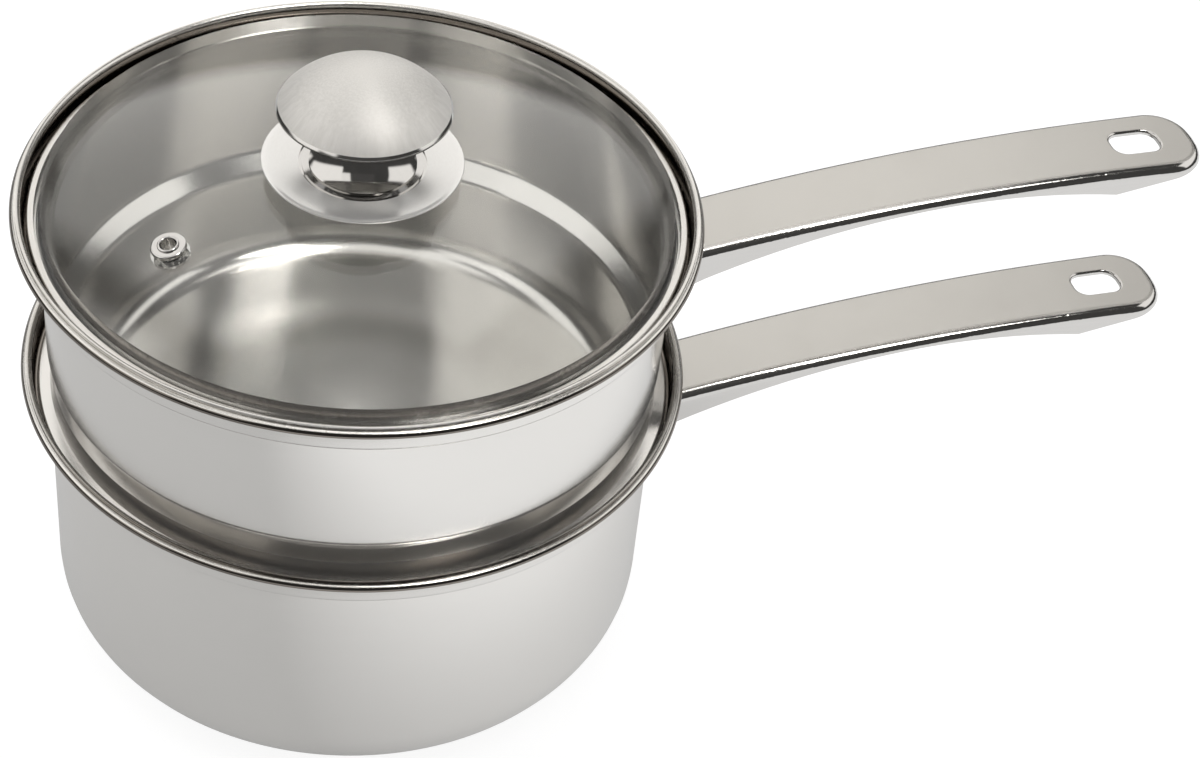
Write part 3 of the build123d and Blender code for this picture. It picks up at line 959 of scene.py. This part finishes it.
# Softboxes on the walls: azimuths and elevations of their sides in degrees, glow
WALL_BOXES = (
    (46, 112, 15, 66, 1.15),
    (120, 200, 20, 60, 1.2),
    (-30, 30, 18, 50, 1.15),
    (-166, -138, 34, 84, 1.1),
    (-68, -38, 57, 84, 9.5),
    (-136, -68, 32, 66, 0.08),
    (-180, 180, 68, 100, 1.1),
)
BOX_EDGE = 2.5  # degrees over which a softbox fades


def seen_rays(n):
    """1 for rays that show the background: camera, glossy and transmission rays."""
    rays = n.add("ShaderNodeLightPath")
    seen = n.math("MAXIMUM", rays.outputs["Is Camera Ray"], rays.outputs["Is Glossy Ray"])
    return n.math("MAXIMUM", seen, rays.outputs["Is Transmission Ray"])


def studio_floor(stage):
    """Floor that the camera sees white, and reflections see dimmer and brighter to one side."""
    n = surface_nodes("studio_floor")
    surface = n.surface
    surface.inputs["Base Color"].default_value = FLOOR_GREY
    surface.inputs["Roughness"].default_value = 0.9
    surface.inputs["Specular IOR Level"].default_value = 0.0
    grain = n.spread(n.noise(n.place(), scale=3.0), 0.98, 1.02)
    spot = n.add("ShaderNodeNewGeometry").outputs["Position"]
    toward = n.add("ShaderNodeVectorMath", {0: spot, 1: stage.bright_side}, operation="DOT_PRODUCT")
    tone = n.spread(toward.outputs["Value"], stage.floor_dim, stage.floor_bright, *FLOOR_TURN)
    tone = n.float_mix(n.add("ShaderNodeLightPath").outputs["Is Camera Ray"], tone, stage.floor_seen)
    strength = n.math("MULTIPLY", n.math("MULTIPLY", seen_rays(n), grain), tone)
    n.link(strength, surface.inputs["Emission Strength"])
    surface.inputs["Emission Color"].default_value = WHITE
    return n.material


def box_on_walls(n, heading, height, west, east, low, high):
    """1 inside a softbox, fading to 0 over its edge."""
    middle, half = math.radians((west + east) / 2), math.radians((east - west) / 2)
    edge = math.radians(BOX_EDGE)
    toward = (math.cos(middle), math.sin(middle), 0.0)
    along = n.add("ShaderNodeVectorMath", {0: heading, 1: toward}, operation="DOT_PRODUCT")
    outer, inner = math.cos(min(half + edge, math.pi)), math.cos(max(half - edge, 0))
    wide = 1.0 if east - west >= 360 else n.spread(along.outputs["Value"], 0.0, 1.0, outer, inner)
    over = n.spread(height, 0.0, 1.0, math.radians(low) - edge, math.radians(low) + edge)
    under = n.spread(height, 1.0, 0.0, math.radians(high) - edge, math.radians(high) + edge)
    return n.math("MULTIPLY", n.math("MULTIPLY", over, under), wide)


def studio_walls(stage):
    """Dome of dark walls with softboxes on them, seen in reflections only.

    Rays that reach it through the glass alone see it white.
    """
    n = surface_nodes("studio_walls")
    surface = n.surface
    surface.inputs["Base Color"].default_value = (0.0, 0.0, 0.0, 1.0)
    surface.inputs["Roughness"].default_value = 1.0
    surface.inputs["Specular IOR Level"].default_value = 0.0
    where = n.add("ShaderNodeSeparateXYZ", {0: n.place()})
    flat = n.add("ShaderNodeCombineXYZ", {0: where.outputs[0], 1: where.outputs[1]})
    heading = n.add("ShaderNodeVectorMath", {0: flat.outputs[0]}, operation="NORMALIZE").outputs[0]
    height = n.math("ARCSINE", n.math("DIVIDE", where.outputs[2], stage.wall_reach))
    tone = n.spread(n.noise(n.place(), scale=0.8), stage.wall_tone * 0.8, stage.wall_tone * 1.2)
    for west, east, low, high, glow in WALL_BOXES:
        shape = box_on_walls(n, heading, height, west, east, low, high)
        tone = n.math("MAXIMUM", tone, n.math("MULTIPLY", shape, glow))
    mirrored = n.spread(n.add("ShaderNodeLightPath").outputs["Glossy Depth"], 0.0, 1.0)
    n.link(n.float_mix(mirrored, 1.0, tone), surface.inputs["Emission Strength"])
    surface.inputs["Emission Color"].default_value = WALL_WHITE
    dome = bmesh.new()
    bmesh.ops.create_uvsphere(dome, u_segments=64, v_segments=32, radius=stage.wall_reach)
    low = [v for v in dome.verts if v.co.z < -MM]
    bmesh.ops.delete(dome, geom=low, context="VERTS")
    mesh = bpy.data.meshes.new("studio_walls")
    dome.to_mesh(mesh)
    dome.free()
    mesh.materials.append(n.material)
    walls = bpy.data.objects.new("studio_walls", mesh)
    bpy.context.scene.collection.objects.link(walls)
    walls.visible_camera = walls.visible_diffuse = walls.visible_shadow = False


def flat_panel(name, width, height, place, aim, material):
    """Flat stage card, centred at place and facing aim."""
    bm = bmesh.new()
    half_w, half_h = width / 2, height / 2
    corners = [(-half_w, -half_h, 0), (half_w, -half_h, 0), (half_w, half_h, 0), (-half_w, half_h, 0)]
    bm.faces.new([bm.verts.new(c) for c in corners])
    mesh = bpy.data.meshes.new(name)
    bm.to_mesh(mesh)
    bm.free()
    mesh.materials.append(material)
    card = bpy.data.objects.new(name, mesh)
    card.location = place
    card.rotation_euler = (Vector(aim) - Vector(place)).to_track_quat("Z", "Y").to_euler()
    bpy.context.scene.collection.objects.link(card)
    return card


def soft_box(name, width, height, azimuth, elevation, reach, glow):
    """Area lamp at an azimuth and elevation, its face as bright as glow, hidden from steel and glass."""
    azimuth, elevation = math.radians(azimuth), math.radians(elevation)
    flat = math.cos(elevation)
    out = Vector((flat * math.cos(azimuth), flat * math.sin(azimuth), math.sin(elevation)))
    lamp = bpy.data.lights.new(name, "AREA")
    lamp.shape = "RECTANGLE"
    lamp.size, lamp.size_y = width, height
    lamp.energy = glow * math.pi * width * height
    obj = bpy.data.objects.new(name, lamp)
    obj.location = out * reach
    obj.rotation_euler = out.to_track_quat("Z", "Y").to_euler()
    obj.visible_camera = obj.visible_glossy = obj.visible_transmission = False
    bpy.context.scene.collection.objects.link(obj)


def studio_world():
    """White surround for every ray that shows it, plain grey fill for the rest."""
    world = bpy.data.worlds.new("studio")
    bpy.context.scene.world = world
    world.use_nodes = True
    n = Nodes(world.node_tree)
    strength = n.spread(seen_rays(n), FILL, SURROUND)
    back = n.add("ShaderNodeBackground", {"Color": WHITE, "Strength": strength})
    out = n.add("ShaderNodeOutputWorld")
    n.link(back.outputs[0], out.inputs["Surface"])


class DB_OT_stage(Operator):
    """Set the camera, the floor, the studio's walls and the lamps"""

    bl_idname = "db.stage"
    bl_label = "Stage"

    def execute(self, context):
        stage = context.scene.db_stage
        scene = context.scene
        scene.view_settings.view_transform = "Standard"
        studio_world()
        camera = bpy.data.cameras.new("photo_camera")
        camera.lens = stage.lens
        camera.sensor_width = 36.0
        camera.clip_start = 10 * MM
        eye = bpy.data.objects.new("photo_camera", camera)
        eye.location = stage.place
        eye.rotation_euler = stage.turn
        scene.collection.objects.link(eye)
        scene.camera = eye
        side = 2 * stage.floor
        floor = flat_panel("floor", side, side, (0, 0, 0), (0, 0, 1), studio_floor(stage))
        floor.location.z = -FLOOR_DROP
        studio_walls(stage)
        for lamp in LAMPS:
            soft_box(*lamp)
        return {"FINISHED"}


OPERATORS = [
    DB_OT_stage,
    DB_OT_lower_pan,
    DB_OT_insert_pan,
    DB_OT_handles,
    DB_OT_lid_glass,
    DB_OT_lid_band,
    DB_OT_vent,
    DB_OT_knob,
    DB_OT_fastening,
]


class DB_PT_panel(Panel):
    """Sidebar panel of the double boiler"""

    bl_idname = "DB_PT_panel"
    bl_label = "Double boiler"
    bl_space_type = "VIEW_3D"
    bl_region_type = "UI"
    bl_category = "Double boiler"

    def draw(self, context):
        for name, group in PROPS.items():
            box = self.layout.box()
            box.label(text=group.__doc__)
            for prop in group.__annotations__:
                box.prop(getattr(context.scene, name), prop)
        for operator in OPERATORS:
            self.layout.operator(operator.bl_idname)


CLASSES = list(PROPS.values()) + OPERATORS + [DB_PT_panel]


def register():
    for cls in CLASSES:
        bpy.utils.register_class(cls)
    for name, group in PROPS.items():
        setattr(bpy.types.Scene, name, PointerProperty(type=group))


def unregister():
    for name in PROPS:
        delattr(bpy.types.Scene, name)
    for cls in reversed(CLASSES):
        bpy.utils.unregister_class(cls)


def corners(bounds):
    return [list(corner) for corner in bounds]


def main():
    register()
    for operator in OPERATORS:
        group, name = operator.bl_idname.split(".")
        getattr(getattr(bpy.ops, group), name)()


if __name__ == "__main__":
    main()
